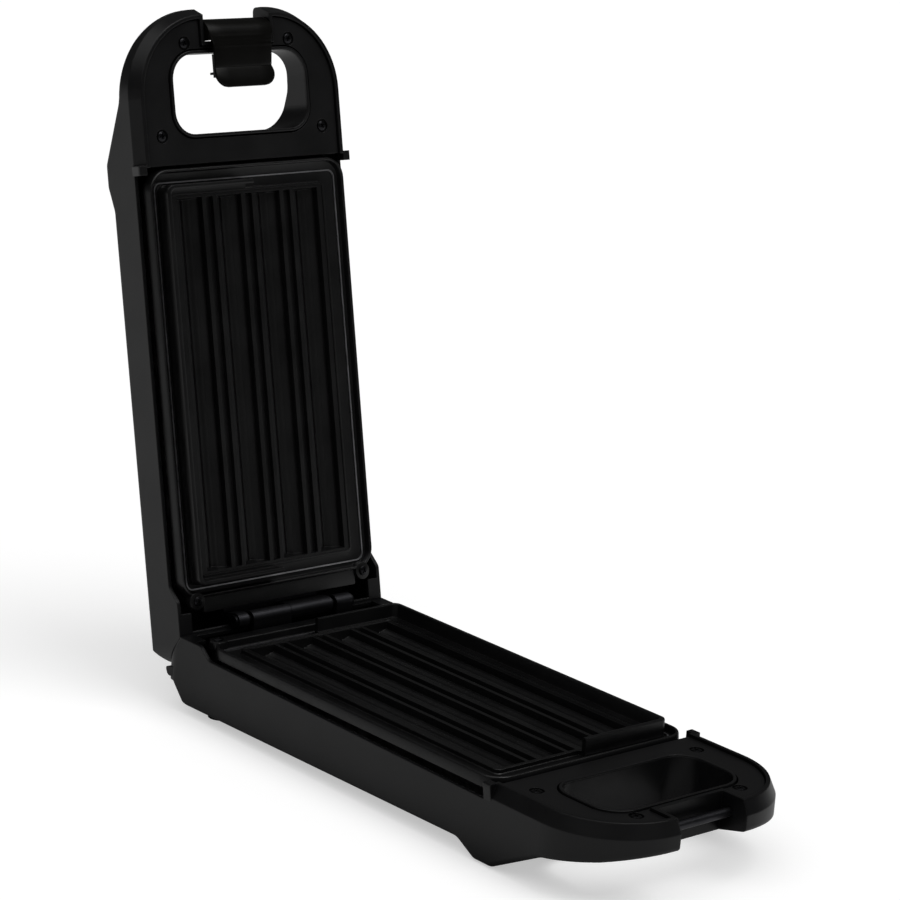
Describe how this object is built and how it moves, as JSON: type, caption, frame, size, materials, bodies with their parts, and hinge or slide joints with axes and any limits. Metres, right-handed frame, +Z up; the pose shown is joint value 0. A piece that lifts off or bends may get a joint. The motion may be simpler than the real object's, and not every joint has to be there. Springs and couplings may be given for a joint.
{
  "type": "churro maker",
  "caption": "Clamshell churro maker with fluted plates in a long body, a rear hinge, a loop handle on each half and a latch at the front; shown open.",
  "frame": {"origin": "centre of the bounding box in plan, on the plane that the feet stand on, with the lid open", "axes": "+X across the machine, +Y from the handle of the base towards the hinge, +Z up"},
  "size_m": [0.163, 0.4786, 0.4164],
  "materials": {
    "satin_black_plastic": "satin, fine grain",
    "gloss_black_plastic": "smooth",
    "nonstick_aluminium": "black non-stick coating",
    "black_steel": "black zinc",
    "plain_steel": "brushed",
    "sheet_steel": "galvanised sheet",
    "element_sheath": "heat-tinted",
    "black_rubber": "matte",
    "red_lens": "translucent",
    "lamp_glass": "clear",
    "ceramic": "glazed ceramic",
    "phenolic": "moulded"
  },
  "bodies": {
    "base": {"base_casing": "satin_black_plastic", "base_handle_cover": "gloss_black_plastic", "base_handle_cover_screws": "black_steel", "latch_bar": "black_steel", "lower_plate": "nonstick_aluminium", "lower_plate_screws": "black_steel", "lower_heating_element": "element_sheath", "lower_heat_tray": "sheet_steel", "lower_tray_screws": "plain_steel", "thermostat": "ceramic", "thermal_fuse": "plain_steel", "terminal_block": "phenolic", "cord_inlet_bush": "black_rubber", "base_hinge_bracket": "black_steel", "base_hinge_screws": "plain_steel", "hinge_pin": "plain_steel", "rear_feet": "black_rubber", "front_feet": "black_rubber"},
    "lid": {"lid_casing": "satin_black_plastic", "lid_handle_cover": "gloss_black_plastic", "lid_handle_cover_screws": "black_steel", "latch_pin": "plain_steel", "upper_plate": "nonstick_aluminium", "upper_plate_screws": "black_steel", "upper_heating_element": "element_sheath", "upper_heat_tray": "sheet_steel", "upper_tray_screws": "plain_steel", "lid_hinge_bracket": "black_steel", "lid_hinge_screws": "plain_steel", "indicator_lenses": "red_lens", "indicator_lamps": "lamp_glass"},
    "latch": {"latch": "gloss_black_plastic"}
  },
  "joints": [
    {"name": "lid_hinge", "type": "hinge", "parent": "base", "child": "lid", "pos_m": [0, 0.13618, 0.0526], "axis": [1, 0, 0], "range_deg": [0, 102.6]},
    {"name": "latch_pivot", "type": "hinge", "parent": "lid", "child": "latch", "pos_m": [0, 0.22773, 0.40717], "axis": [-1, 0, 0], "range_deg": [0, 120]}
  ]
}
